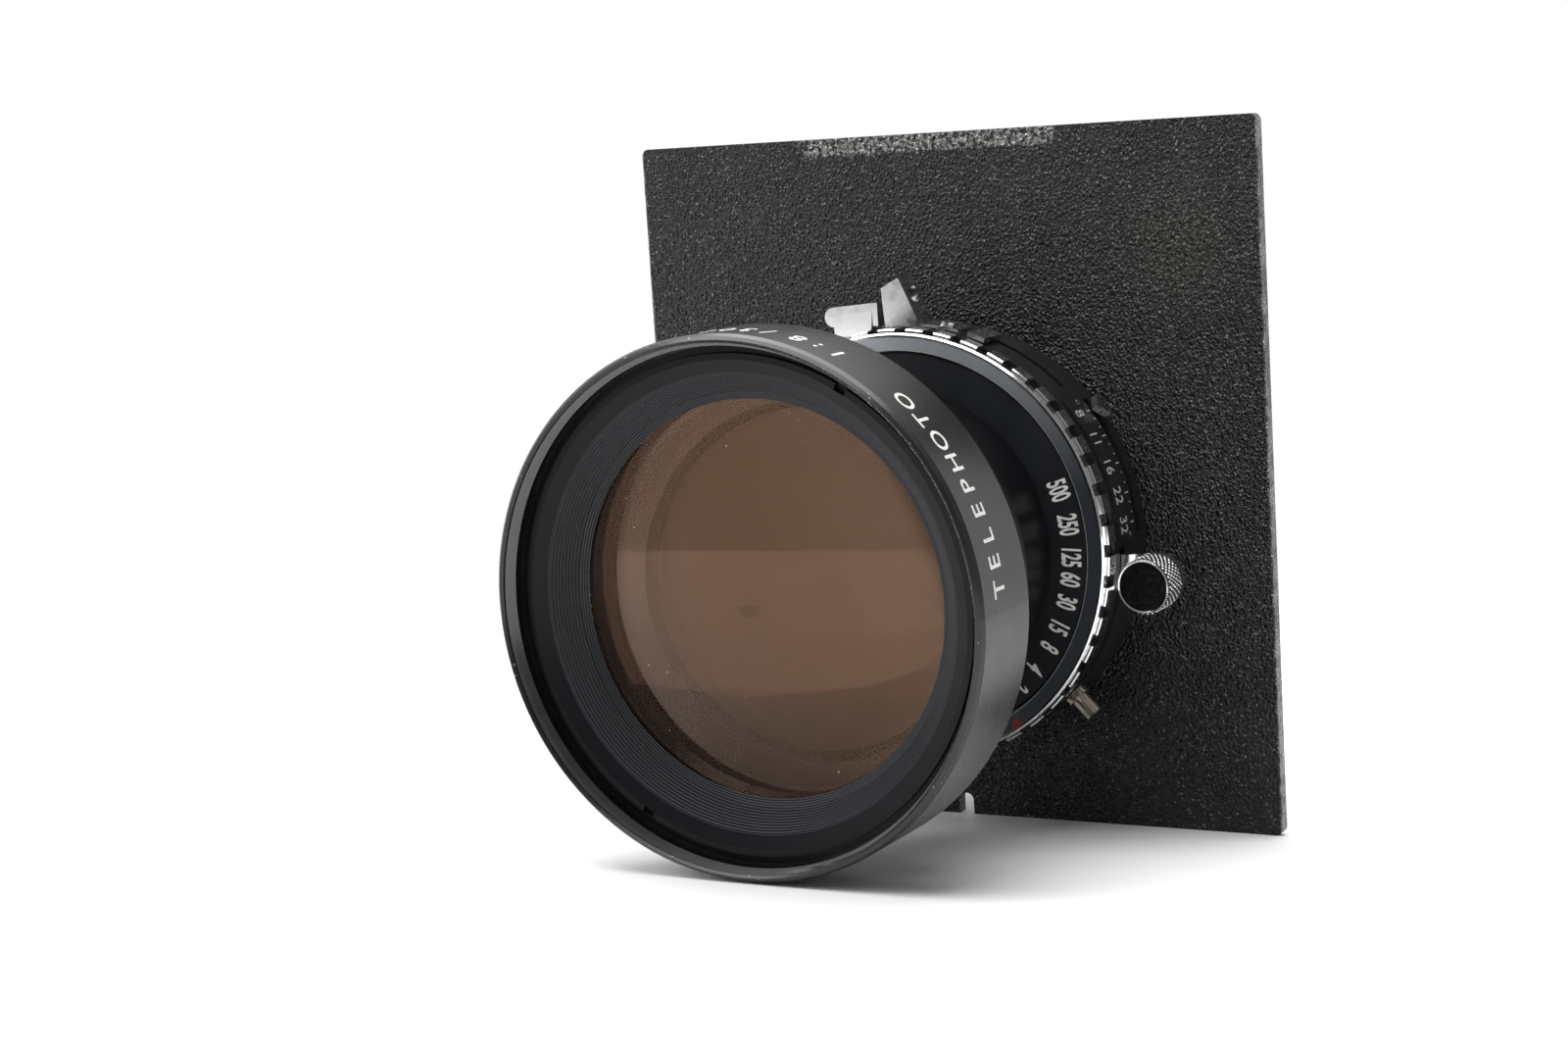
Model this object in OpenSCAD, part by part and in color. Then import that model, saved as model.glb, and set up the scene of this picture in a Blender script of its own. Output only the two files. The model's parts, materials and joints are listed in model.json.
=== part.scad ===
// Telephoto view-camera lens: two lens cells in a leaf shutter, clamped to a lens board.
// Every module is drawn along the optical axis (local +Z, towards the subject) and then
// turned by optical(), so that the subject is on -Y and the camera is on +Y.
// The origin is on the optical axis, on the front face of the board.

/* [Lens board] */
// Width of the board
board_w = 96; // [90:1:120]
// Height of the board
board_h = 99; // [92:1:120]
// Thickness of the board
board_t = 2; // [1.5:0.1:2.5]
// Distance of the optical axis below the middle of the board
board_drop = 7.4; // [5:0.1:8]
// Radius of the shutter hole
hole_r = 17.4; // [17.3:0.1:18]
// Width of the locating slot in the bottom edge
slot_w = 2.3; // [2:0.1:4]
// Height of the locating slot
slot_h = 3.1; // [2.5:0.1:4]
// Outer side of the square light-trap ridge on the back
trap_side = 80; // [70:1:84]
// Height of the light-trap ridge
trap_h = 1.6; // [1:0.1:2]

/* [Shutter case] */
// Outer radius of the case
case_r = 30.2; // [30:0.1:30.4]
// Depth of the case
case_h = 12.6; // [12.4:0.1:12.7]
// Thickness of the case wall
case_wall = 1; // [0.8:0.1:1.2]
// Radius of the mounting thread behind the board
boss_r = 16.25; // [16:0.05:17]
// Length of the mounting thread
boss_l = 4.6; // [4.2:0.1:5]
// Radius of the two lens-cell threads
cell_r = 14.75; // [14.5:0.05:15]
// Radius of the widest stop
stop_r = 12.6; // [12:0.1:12.8]

/* [Speed ring] */
// Number of grip teeth
tooth_count = 45; // [36:1:48]
// Radius over the teeth
tooth_r = 30.5; // [30.3:0.1:30.8]
// Radius of the continuous front lip
lip_r = 30; // [29.6:0.1:30.1]
// Inner radius of the visible ring face
ring_in_r = 27.6; // [27.4:0.1:28]
// Depth of the front of the ring
ring_front_z = 16.1; // [16:0.1:16.5]

/* [Front cell] */
// Outer radius of the name ring
name_r = 34.6; // [34.4:0.1:36]
// Radius of the filter thread
filter_r = 33.5; // [33.4:0.05:33.6]
// Length of the filter thread
filter_l = 3; // [2.6:0.1:3]
// Front of the lens
front_z = 65.5; // [65:0.1:66]
// Back of the name ring
name_back_z = 51.2; // [50:0.1:52]
// Radius of the waist of the barrel
waist_r = 22.2; // [21:0.1:23]

/* [Rear cell] */
// Outer radius of the rear barrel
rear_r = 26; // [25:0.1:28]
// Back of the lens
rear_z = -33; // [-36:0.5:-31]

/* [Hidden] */
$fn = 96;
eps = 0.01;                       // cutters reach this far past a face
fit = 0.05;                       // radial clearance of a running fit
case_in_r = case_r - case_wall;
run_r = case_in_r - fit;          // rings that turn inside the case wall
back_t = 1.6;                     // back plate of the case
// depths of the layers inside the shutter
iris_z = 1.9;
blade_gap = 0.3;
blade_t = 0.15;
aperture_z = 3.5;
aperture_t = 1.2;
leaf_z = 5;
blade_ring_z = 6.65;
blade_ring_t = 0.75;
plate_z = 7.7;
plate_t = 1;
cocking_z = 9.3;
cocking_t = 1.2;
tube_top_z = 14.1;
tube_r = 20.2;
face_r = 27.3;
face_z = 15.8;
// places round the axis, in degrees anticlockwise from +X as seen from the front
pointer_a = 35.8;
knob_a = -7.7;
focus_a = 69;
terminal_a = -45.7;
index_a = -56.5;
knob_centre_r = 35.4;
knob_r = 3.85;
knob_front_z = 15.4;
insert_r = 3.35;
insert_z = knob_front_z - 0.8;
iris_pivot_r = 23.5;
leaf_pivot_r = 25.8;
leaf_closed_a = -29.65;           // swing of a shutter blade from open to closed
blade_step = 72;
pin_r = 0.5;
terminal_z = 7;
sleeve_r = 1.35;                  // outer radius of the sync terminal
shank_r = 1.15;                   // radius of the sleeve where it passes through the wall
sleeve_end_r = 34.2;
bore_r = 0.85;
collar_r = 1.8;
collar_end_r = case_r + 0.9;
collar_seat_r = case_r - 0.35;    // flat seat of the collar, cut into the case wall
socket_r = 1.5;
socket_z = 9.5;
socket_tilt = 24.5;               // the socket faces right and this far up
ear_top = [-0.5, 37.3];           // top corner of the bracket's ear
release_pivot_at = [-8.6, 21.2, 0];
pivot_r = 0.9;
release_z = 11;

black = [0.05, 0.05, 0.06];
satin = [0.16, 0.16, 0.17];
steel = [0.78, 0.78, 0.8];
glass = [0.45, 0.33, 0.25, 0.6];

module optical() { rotate([90, 0, 0]) children(); }
// a tube from z0 to z1
module tube(r_out, r_in, z0, z1) {
    translate([0, 0, z0]) difference() {
        cylinder(r = r_out, h = z1 - z0);
        translate([0, 0, -1]) cylinder(r = r_in, h = z1 - z0 + 2);
    }
}
// a piece of a ring from angle a0 to a1
module ring_part(r_in, r_out, z0, z1, a0, a1) {
    rotate([0, 0, a0]) rotate_extrude(angle = a1 - a0) translate([r_in, z0]) square([r_out - r_in, z1 - z0]);
}
module spin(profile) { rotate_extrude() polygon(profile); }
// a lens: the disc r between z0 and z1 at its edge, ground to spheres; a negative radius is concave
module lens(r, z0, z1, front_radius, back_radius) {
    sag_f = abs(front_radius) - sqrt(front_radius * front_radius - r * r);
    sag_b = abs(back_radius) - sqrt(back_radius * back_radius - r * r);
    low = back_radius > 0 ? z0 - sag_b : z0;
    high = front_radius > 0 ? z1 + sag_f : z1;
    difference() {
        intersection() {
            translate([0, 0, low - eps]) cylinder(r = r, h = high - low + 2 * eps);
            if (front_radius > 0) translate([0, 0, high - front_radius]) sphere(r = front_radius, $fn = 200);
            if (back_radius > 0) translate([0, 0, low + back_radius]) sphere(r = back_radius, $fn = 200);
            translate([0, 0, low]) cylinder(r = r + 1, h = high - low);
        }
        if (front_radius < 0)
            translate([0, 0, z1 - sag_f - front_radius]) sphere(r = -front_radius, $fn = 200);
        if (back_radius < 0) translate([0, 0, z0 + sag_b + back_radius]) sphere(r = -back_radius, $fn = 200);
    }
}

// ---- board ----
module board_plate() {
    corner = 1;
    for (s = [-1, 1]) translate([0, board_drop, -board_t / 2])
        cube([board_w - (s + 1) * corner, board_h + (s - 1) * corner, board_t], center = true);
    for (x = [-1, 1], y = [-1, 1])
        translate([x * (board_w / 2 - corner), board_drop + y * (board_h / 2 - corner), -board_t])
            cylinder(r = corner, h = board_t);
}
module lens_board() {
    ridge = 2;
    slot_top = board_drop - board_h / 2 + slot_h - slot_w / 2;
    color(black) optical() difference() {
        union() {
            board_plate();
            translate([0, board_drop, -board_t - trap_h]) difference() {
                translate([-trap_side / 2, -trap_side / 2, 0]) cube([trap_side, trap_side, trap_h]);
                translate([ridge - trap_side / 2, ridge - trap_side / 2, -1])
                    cube([trap_side - 2 * ridge, trap_side - 2 * ridge, trap_h + 1]);
            }
        }
        translate([0, 0, -board_t - 1]) cylinder(r = hole_r, h = board_t + 2);
        translate([0, slot_top, -board_t - 1]) cylinder(r = slot_w / 2, h = board_t + 2);
        translate([-slot_w / 2, slot_top - slot_h, -board_t - 1]) cube([slot_w, slot_h, board_t + 2]);
    }
}
module retaining_ring() {
    ring_r = 20;
    ring_t = 1.8;
    color(black) optical() difference() {
        tube(ring_r, boss_r, -board_t - ring_t, -board_t);
        for (a = [0, 180]) rotate([0, 0, a])
            translate([boss_r + 1.8, -1, -board_t - ring_t - 1]) cube([ring_r, 2, ring_t]);
    }
}

// ---- shutter ----
module case_slot(z0, z1, a0, a1) { ring_part(case_in_r - 0.5, case_r + 1, z0, z1, a0, a1); }
module case_slots() {
    case_slot(aperture_z - 0.25, aperture_z + aperture_t + 0.25, 1.5, pointer_a + 4);
    case_slot(blade_ring_z - 0.2, blade_ring_z + blade_ring_t + 0.25, focus_a - 24, focus_a + 5);
    case_slot(cocking_z - 0.25, cocking_z + cocking_t + 0.25, knob_a - 46, knob_a + 7);
    case_slot(release_z - 0.3, case_h + 1, 92, 126);
    at_terminal() translate([0, 0, case_in_r - 1]) cylinder(r = shank_r, h = 4);
    at_terminal() translate([0, 0, collar_seat_r]) cylinder(r = collar_r, h = 4);
}
module shutter_case() {
    color(black) optical() difference() {
        union() {
            tube(boss_r, cell_r, -boss_l, back_t);
            tube(case_r - 0.6, boss_r - eps, 0, back_t);
            tube(case_r, case_in_r, back_t - 0.6, case_h);
        }
        for (i = [0:4]) rotate([0, 0, iris_angle(i)])
            translate([iris_pivot_r, 0, 0.5]) cylinder(r = pin_r + fit, h = back_t);
        case_slots();
    }
}
module mechanism_plate() {
    color(satin) optical() difference() {
        union() {
            tube(case_in_r, cell_r, plate_z, plate_z + plate_t);
            tube(tube_r, cell_r, plate_z, tube_top_z);
        }
        for (i = [0:4]) rotate([0, 0, leaf_angle(i)])
            translate([leaf_pivot_r, 0, plate_z - 1]) cylinder(r = pin_r + fit, h = plate_t + 2);
        at_release_pivot() translate([0, 0, plate_z - 1]) cylinder(r = pivot_r, h = plate_t + 2);
    }
}
module face_plate() {
    color(black) optical()
        spin([[cell_r + 0.4, tube_top_z], [face_r, tube_top_z], [face_r, face_z - 0.2],
              [face_r - 0.2, face_z], [cell_r + 0.4, face_z]]);
}
module aperture_scale() {
    color(black) optical() difference() {
        ring_part(case_r, case_r + 0.3, 5.4, 11.4, 0.5, pointer_a + 5);
        scale_holes();
    }
}
module scale_holes() {
    for (a = [2, pointer_a + 3.4]) rotate([0, 0, a])
        translate([case_r - 0.2, 0, 7.2]) rotate([0, 90, 0]) cylinder(r = 0.4, h = 1);
}
module scale_screws() {
    color(steel) optical() for (a = [2, pointer_a + 3.4]) rotate([0, 0, a])
        translate([case_r, 0, 7.2]) rotate([0, 90, 0]) cylinder(r = 0.4, h = 0.4);
}
module speed_ring() {
    pitch = 360 / tooth_count;
    ring_back_z = case_h + 0.3;
    flange_z = ring_back_z + 1;
    lip_z = ring_front_z - 0.7;
    notch_r = lip_r - 0.35;
    notch_w = 1.7;
    color(steel) optical() difference() {
        spin([[tube_r + fit, ring_back_z], [tooth_r, ring_back_z], [tooth_r, lip_z - 0.2],
              [tooth_r - 0.2, lip_z], [lip_r, lip_z], [lip_r, ring_front_z - 0.25],
              [lip_r - 0.25, ring_front_z], [ring_in_r, ring_front_z], [ring_in_r, flange_z],
              [tube_r + fit, flange_z]]);
        for (i = [0:tooth_count - 1]) rotate([0, 0, i * pitch])
            translate([notch_r, -notch_w / 2, ring_back_z - 1]) cube([2, notch_w, lip_z - ring_back_z + 1.1]);
        rotate([0, 0, index_a]) translate([0, 0, ring_front_z - 0.25]) linear_extrude(1) index_mark();
    }
}
module index_mark() {
    polygon([[ring_in_r + 0.35, 0], [lip_r - 0.35, 0.95], [lip_r - 0.35, -0.95]]);
}
module speed_index() {
    color("red") optical() rotate([0, 0, index_a])
        translate([0, 0, ring_front_z - 0.25]) linear_extrude(0.25) index_mark();
}
module aperture_ring() {
    color(satin) optical() difference() {
        tube(run_r, 19.5, aperture_z, aperture_z + aperture_t);
        rotate([0, 0, pointer_a]) translate([27, -0.9, aperture_z - 1]) cube([5, 1.8, 4]);
    }
}
module aperture_pointer() {
    out_r = case_r + 0.6;
    color(black) optical() rotate([0, 0, pointer_a]) {
        translate([27, -0.9, aperture_z]) cube([out_r - 27 + 0.6, 1.8, aperture_t]);
        translate([out_r, 0, aperture_z]) rotate([0, 90, 0]) linear_extrude(1.1)
            polygon([[0.9, -1.7], [0, -1.7], [-2.4, 0], [0, 1.7], [0.9, 1.7]]);
    }
}
module blade_ring() {
    tab_w = 5;
    tab_a = focus_a - tab_w / 2;
    color(steel) optical() {
        tube(run_r, 27.5, blade_ring_z, blade_ring_z + blade_ring_t);
        ring_part(28, case_r + 1.1, blade_ring_z, blade_ring_z + blade_ring_t, tab_a, tab_a + tab_w);
        ring_part(case_r + 0.4, case_r + 1.1, blade_ring_z, case_h - 0.2, tab_a, tab_a + tab_w);
    }
}
module cocking_ring() {
    color(steel) optical() {
        tube(run_r, 25.6, cocking_z, cocking_z + cocking_t);
        rotate([0, 0, knob_a]) translate([0, 0, cocking_z]) {
            linear_extrude(cocking_t) difference() {
                polygon([[27, 2.6], [31, 2.9], [34.4, 3.7], [34.4, -3.7], [31, -2.1], [27, -2.1]]);
                circle(r = 26);
            }
            difference() {
                translate([knob_centre_r, 0, 0]) cylinder(r = knob_r - 0.1, h = cocking_t);
                translate([knob_centre_r, 0, -1]) cylinder(r = 1, h = 4);
            }
        }
    }
}
module at_knob() {
    rotate([0, 0, knob_a]) translate([knob_centre_r, 0, 0]) children();
}
module cocking_knob() {
    color(steel) optical() at_knob() spin([
        [1, cocking_z + cocking_t], [knob_r - 0.2, cocking_z + cocking_t],
        [knob_r, cocking_z + cocking_t + 0.2], [knob_r, knob_front_z - 0.25], [knob_r - 0.25, knob_front_z],
        [insert_r, knob_front_z], [insert_r, insert_z], [1, insert_z]]);
}
module knob_insert() {
    color(black) optical() at_knob() translate([0, 0, insert_z]) cylinder(r = insert_r, h = 0.7);
}
module knob_screw() {
    color(steel) optical() at_knob() translate([0, 0, cocking_z]) cylinder(r = 1, h = insert_z - cocking_z);
}
module at_release_pivot() { translate(release_pivot_at) children(); }
module release_lever() {
    arm_t = 1;
    tab_low = 30.6;
    color(steel) optical() difference() {
        union() {
            translate([0, 0, release_z]) linear_extrude(arm_t) {
                at_release_pivot() circle(r = 2);
                polygon([[-10.6, 22], [-7, 22], [-5, 30.6], [-4.7, 33.9], [-10.9, 33.4], [-10.9, tab_low]]);
                translate([-10.9, (33.4 + tab_low) / 2]) circle(r = (33.4 - tab_low) / 2);
            }
            translate([-4.75, tab_low + 0.1, 8]) cube([0.8, 3.2, release_z + arm_t - 8]);
        }
        at_release_pivot() translate([0, 0, release_z - 1]) cylinder(r = pivot_r + fit, h = 4);
    }
}
module release_pivot() {
    color(steel) optical() at_release_pivot() translate([0, 0, plate_z]) {
        cylinder(r = pivot_r, h = release_z - plate_z + 1.3);
        translate([0, 0, plate_t]) cylinder(r = 1.5, h = release_z - plate_z - plate_t - 0.1);
    }
}
// ---- retard gear train: three wheels in a row on fixed axles ----
gear_teeth = 16;
gear_pitch_r = 2.3;
gear_circle_r = 22.9;
gear_step = 2 * asin((gear_pitch_r + 0.02) / gear_circle_r);
function gear_angle(i) = 196 + i * gear_step;
// the direction from wheel i to the next one, round wheel i
function gear_facing(i) = gear_angle(i) + gear_step / 2 + 90;
module at_gear(i) {
    rotate([0, 0, gear_angle(i)]) translate([gear_circle_r, 0, 0]) rotate([0, 0, -gear_angle(i)]) children();
}
module retard_gear(i) {
    pitch = 360 / gear_teeth;
    tip_r = gear_pitch_r + 0.22;
    root_r = gear_pitch_r - 0.36;
    phase = gear_facing(0) + (i == 1 ? pitch / 2 + 180 : i == 2 ? 2 * (gear_facing(1) - gear_facing(0)) : 0);
    color("gold") optical() at_gear(i) translate([0, 0, plate_z + plate_t + 0.5]) linear_extrude(0.9)
        difference() {
            union() {
                circle(r = root_r);
                for (k = [0:gear_teeth - 1]) rotate([0, 0, phase + k * pitch])
                    polygon([[root_r - 0.2, -0.26], [gear_pitch_r, -0.16], [tip_r, -0.08],
                             [tip_r, 0.08], [gear_pitch_r, 0.16], [root_r - 0.2, 0.26]]);
            }
            circle(r = pin_r + fit);
        }
}
module retard_axles() {
    color(steel) optical() for (i = [0:2]) at_gear(i) translate([0, 0, plate_z + plate_t]) {
        cylinder(r = 0.9, h = 0.4);
        cylinder(r = pin_r, h = 1.9);
    }
}
// coil springs are drawn as closed turns side by side
module turns(r, wire, count) {
    for (i = [0:count - 1]) translate([0, 0, wire / 2 + i * wire])
        rotate_extrude() translate([r, 0]) circle(r = wire / 2, $fn = 24);
}
module release_spring() {
    color(steel) optical() at_release_pivot() translate([0, 0, plate_z + plate_t]) turns(2, 0.36, 5);
}
module main_spring() {
    color(steel) optical() translate([0, -23, plate_z + plate_t]) turns(1.8, 0.4, 8);
}
module cable_release_bracket() {
    front_z = 12;
    back_z = 7.2;
    low = 30.35;
    ear_l = 6.3;
    ear_t = 1.7;
    color(steel) optical() difference() {
        union() {
            translate([0, 0, front_z - 0.9]) linear_extrude(0.9)
                polygon([[-2.8, low], [-3.1, 33.7], [-3.2, 35.9], ear_top, ear_point(ear_l, 0), [2, low]]);
            translate([0, 0, back_z]) linear_extrude(front_z - back_z)
                polygon([ear_top, ear_point(ear_l, 0), [2, low], [0.3, low],
                         ear_point(ear_l, ear_t), ear_point(0, ear_t)]);
            ring_part(case_r + 0.05, case_r + 0.85, back_z, front_z, 74.5, 89);
        }
        translate([0, 0, back_z - 1]) cylinder(r = case_r + 0.05, h = 6);
        rotate([0, 0, 79]) translate([case_r - 1, 0, 10]) rotate([0, 90, 0]) cylinder(r = 0.6, h = 4);
        socket() translate([0, 0, -ear_t - 0.5]) cylinder(r = socket_r, h = ear_t + 1);
    }
}
// a point on the bracket's ear: so far down from its top corner, and so far behind its outer face
function ear_point(down, behind) = ear_top
    + down * [sin(socket_tilt), -cos(socket_tilt)] - behind * [cos(socket_tilt), sin(socket_tilt)];
// places its children at the mouth of the cable-release socket, local +Z out of the mouth
module socket() {
    mouth = ear_point(2.4, 0);
    translate([mouth[0], mouth[1], socket_z]) rotate([0, 0, socket_tilt]) rotate([0, 90, 0]) children();
}
module bracket_screws() {
    color(steel) optical() rotate([0, 0, 79]) translate([case_r + 0.05, 0, 10]) rotate([0, 90, 0]) {
        cylinder(r = 0.6, h = 0.8);
        translate([0, 0, 0.8]) cylinder(r = 1.1, h = 0.45);
    }
}
module at_terminal() {
    rotate([0, 0, terminal_a]) translate([0, 0, terminal_z]) rotate([0, 90, 0]) children();
}
module sync_collar() {
    color("tan") optical() at_terminal() tube(collar_r, shank_r, collar_seat_r, collar_end_r);
}
module sync_sleeve() {
    color("tan") optical() at_terminal() {
        tube(shank_r, bore_r, case_in_r + 0.2, collar_end_r + 0.1);
        tube(sleeve_r, bore_r, collar_end_r + 0.1 - eps, sleeve_end_r);
    }
}
module sync_insulator() {
    color("ivory") optical() at_terminal() tube(bore_r, 0.35, case_in_r + 0.2, 31.5);
}
module sync_pin() {
    pin_end = 33.6;
    color("gold") optical() at_terminal() translate([0, 0, case_in_r])
        cylinder(r = 0.35, h = pin_end - case_in_r);
}

// ---- iris and shutter blades ----
function iris_angle(i) = 10 + i * blade_step;
function leaf_angle(i) = 46 + i * blade_step;
// a crescent blade in its open place, hinged at [pivot, 0]
module crescent(pivot, out_r, end_a) {
    ring_part(stop_r, out_r, 0, blade_t, end_a, -2);
    linear_extrude(blade_t) difference() {
        polygon([[out_r - 1.5, -1], [pivot, -1.1], [pivot, 1.1], [out_r - 1, 0.5]]);
        circle(r = out_r - 1.2);
    }
    translate([pivot, 0, 0]) cylinder(r = 1.1, h = blade_t);
}
module iris_blade(i) {
    z = iris_z + i * blade_gap;
    color(satin) optical() rotate([0, 0, iris_angle(i)]) {
        translate([0, 0, z]) crescent(iris_pivot_r, 20.4, -106);
        translate([iris_pivot_r, 0, 0.6]) cylinder(r = pin_r, h = z - 0.6 + blade_t);
    }
}
module shutter_blade(i) {
    z = leaf_z + i * blade_gap;
    color(satin) optical() rotate([0, 0, leaf_angle(i)])
        translate([leaf_pivot_r, 0, 0]) rotate([0, 0, leaf_closed_a]) translate([-leaf_pivot_r, 0, 0]) {
            translate([0, 0, z]) crescent(leaf_pivot_r, 24.6, -112);
            translate([leaf_pivot_r, 0, z]) cylinder(r = pin_r, h = plate_z + plate_t - z);
        }
}

// ---- front cell ----
barrel_r = 32.9;
seat_z = 61.4;                    // front of the barrel, behind the filter thread
baffle_r = 31.9;
groove_d = 0.6;                   // depth of the groove behind the filter thread
module front_barrel() {
    color(black) optical() spin([
        [cell_r, tube_top_z - 5], [cell_r, face_z], [waist_r - 0.4, face_z], [waist_r, face_z + 0.4],
        [waist_r, 31], [28.6, 38], [28.6, 44], [31.6, name_back_z], [barrel_r, name_back_z],
        [barrel_r, seat_z], [baffle_r, seat_z],
        [baffle_r, 56.6], [27.2, 56.6], [27.2, 48.4], [25.5, 48.4], [25.5, 35.5], [21.6, 35.5], [21.6, 34],
        [18.6, 33], [13.2, 16], [13, tube_top_z - 5]]);
}
module name_ring() {
    color(satin) optical() spin([
        [barrel_r, name_back_z], [name_r - 0.5, name_back_z], [name_r, name_back_z + 0.5],
        [name_r, front_z - 1.1], [name_r - 0.3, front_z - 0.4], [name_r - 0.7, front_z],
        [filter_r + 0.3, front_z], [filter_r, front_z - 0.3], [filter_r, front_z - 0.3 - filter_l],
        [filter_r + groove_d, front_z - 0.3 - filter_l], [filter_r + groove_d, seat_z],
        [barrel_r, seat_z]]);
}
// the ridged ring that holds the front element and stops stray light
module baffle_ring() {
    ridges = 9;
    shelf_z = seat_z + 0.6;
    notch_d = 0.9;
    notch_w = 1.6;
    top = [29.3, 61];
    low = [26.8, 57.7];
    step = (top - low) / ridges;
    teeth = [for (i = [0:ridges - 1], k = [0, 1])
        k == 0 ? low + i * step : low + i * step + [0.25 * step[0], 0.8 * step[1]]];
    color(black) optical() difference() {
        spin(concat([[25.9, 56.6], [baffle_r, 56.6], [baffle_r, shelf_z], [31.1, shelf_z], top],
            [for (i = [len(teeth) - 1:-1:0]) teeth[i]], [[25.7, 56.9]]));
        for (a = [60, 240]) rotate([0, 0, a])
            translate([baffle_r - notch_d, -notch_w / 2, shelf_z - notch_d]) cube([2, notch_w, 2]);
    }
}
module front_element() { color(glass) optical() lens(27.2, 50.6, 56, 88, 400); }
module front_spacer() {
    color(black) optical() spin([[27.2, 48.4], [27.2, 50.5], [26.6, 50.5], [25.2, 48.4]]);
}
module second_element() { color(glass) optical() lens(25.5, 41.5, 46, 120, -200); }
module middle_spacer() {
    color(black) optical() spin([[25.5, 40.6], [25.5, 41.5], [21, 40.7], [21, 40]]);
}
module third_element() { color(glass) optical() lens(25.5, 35.85, 40.6, -110, 300); }
module front_inner_ring() { color(black) optical() tube(25.5, 24.3, 46.3, 47.9); }

// ---- rear cell ----
module rear_barrel() {
    color(black) optical() spin([
        [13, 1], [cell_r, 1], [cell_r, -boss_l], [19, -boss_l], [19.6, -boss_l - 0.6], [rear_r, -10],
        [rear_r, rear_z + 0.8], [rear_r - 0.6, rear_z], [24.6, rear_z], [24.6, -25], [21, -25],
        [21, -12], [18, -12], [14, -4]]);
}
module fourth_element() { color(glass) optical() lens(21, -19, -12, -60, -160); }
module rear_spacer() { color(black) optical() tube(21, 19.4, -25, -19); }
module rear_element() { color(glass) optical() lens(24.6, -28.6, -25, -70, 90); }
module rear_retainer() {
    color(black) optical() difference() {
        tube(24.6, 22.7, -31.4, -29.2);
        for (a = [0, 180]) rotate([0, 0, a]) translate([22, -0.8, -33]) cube([1.9, 1.6, 2.5]);
    }
}

lens_board();
retaining_ring();
shutter_case();
mechanism_plate();
face_plate();
aperture_scale();
scale_screws();
speed_ring();
speed_index();
aperture_ring();
aperture_pointer();
blade_ring();
cocking_ring();
cocking_knob();
knob_insert();
knob_screw();
release_lever();
release_pivot();
release_spring();
main_spring();
retard_axles();
cable_release_bracket();
bracket_screws();
sync_collar();
sync_sleeve();
sync_insulator();
sync_pin();
front_barrel();
name_ring();
baffle_ring();
front_element();
front_spacer();
second_element();
front_inner_ring();
middle_spacer();
third_element();
rear_barrel();
fourth_element();
rear_spacer();
rear_element();
rear_retainer();
for (i = [1:3]) retard_gear(i - 1);
for (i = [1:5]) iris_blade(i - 1);
for (i = [1:5]) shutter_blade(i - 1);
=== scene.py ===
"""Looks of a telephoto view-camera lens in a leaf shutter, clamped to a lens board.

Places are worked out in optical coordinates, in millimetres: x to the right and y up as seen
from the front, z from the board's front face towards the subject. at() turns them into the frame.
"""
import json
import math

import bpy
from mathutils import Matrix, Vector


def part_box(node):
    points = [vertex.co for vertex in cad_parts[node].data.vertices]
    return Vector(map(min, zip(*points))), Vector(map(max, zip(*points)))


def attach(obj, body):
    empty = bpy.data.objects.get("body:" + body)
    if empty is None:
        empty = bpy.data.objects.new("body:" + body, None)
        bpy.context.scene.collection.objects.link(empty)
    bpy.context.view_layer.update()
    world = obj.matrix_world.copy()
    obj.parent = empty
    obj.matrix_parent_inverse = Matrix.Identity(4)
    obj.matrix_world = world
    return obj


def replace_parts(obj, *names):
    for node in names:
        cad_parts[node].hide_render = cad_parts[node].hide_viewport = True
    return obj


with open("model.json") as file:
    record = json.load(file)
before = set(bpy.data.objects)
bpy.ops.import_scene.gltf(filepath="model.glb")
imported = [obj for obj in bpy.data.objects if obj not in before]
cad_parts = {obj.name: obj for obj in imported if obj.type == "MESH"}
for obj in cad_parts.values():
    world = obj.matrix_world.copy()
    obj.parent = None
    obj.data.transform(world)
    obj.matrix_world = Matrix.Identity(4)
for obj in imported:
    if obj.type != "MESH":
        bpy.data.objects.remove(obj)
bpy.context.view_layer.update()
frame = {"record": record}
MM = 0.001


def at(x, y, z):
    """A point in optical millimetres as a vector of the frame, in metres."""
    return Vector((x, -z, y)) * MM


def polar(r, angle, z):
    """A point r from the optical axis, at degrees anticlockwise from +x seen from the front."""
    a = math.radians(angle)
    return at(r * math.cos(a), r * math.sin(a), z)


def optical_box(node):
    """Lowest and highest optical x, y and z of a CAD node, in millimetres."""
    low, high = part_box(node)
    return (
        Vector((low.x, low.z, -high.y)) / MM,
        Vector((high.x, high.z, -low.y)) / MM,
    )


# ---- sizes read from the frame ----
board_low, board_high = optical_box("lens_board")
name_low, name_high = optical_box("name_ring")
face_low, face_high = optical_box("face_plate")
knob_low, knob_high = optical_box("cocking_knob")
insert_low, insert_high = optical_box("knob_insert")
thread = next(m["dims"] for m in frame["record"]["mounts"] if m["name"] == "filter_thread")
thread_r = thread["r_mm"]
thread_l = thread["length_mm"]
name_r = name_high.x
front_z = name_high.z
face_z = face_high.z
SCALE_R = 30.5                    # the aperture scale's outer face
RIDGES_R = (26.8, 29.3)           # the baffle ring's fine ridges, from inside to outside
RIDGES = 9
TEETH_R = 29.35                   # the plated teeth round the speed ring begin here
FACE_R = 27.75                    # the speed ring's flat face begins here
INK_R = 19.6                      # the third element's edge is inked outside this


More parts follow.
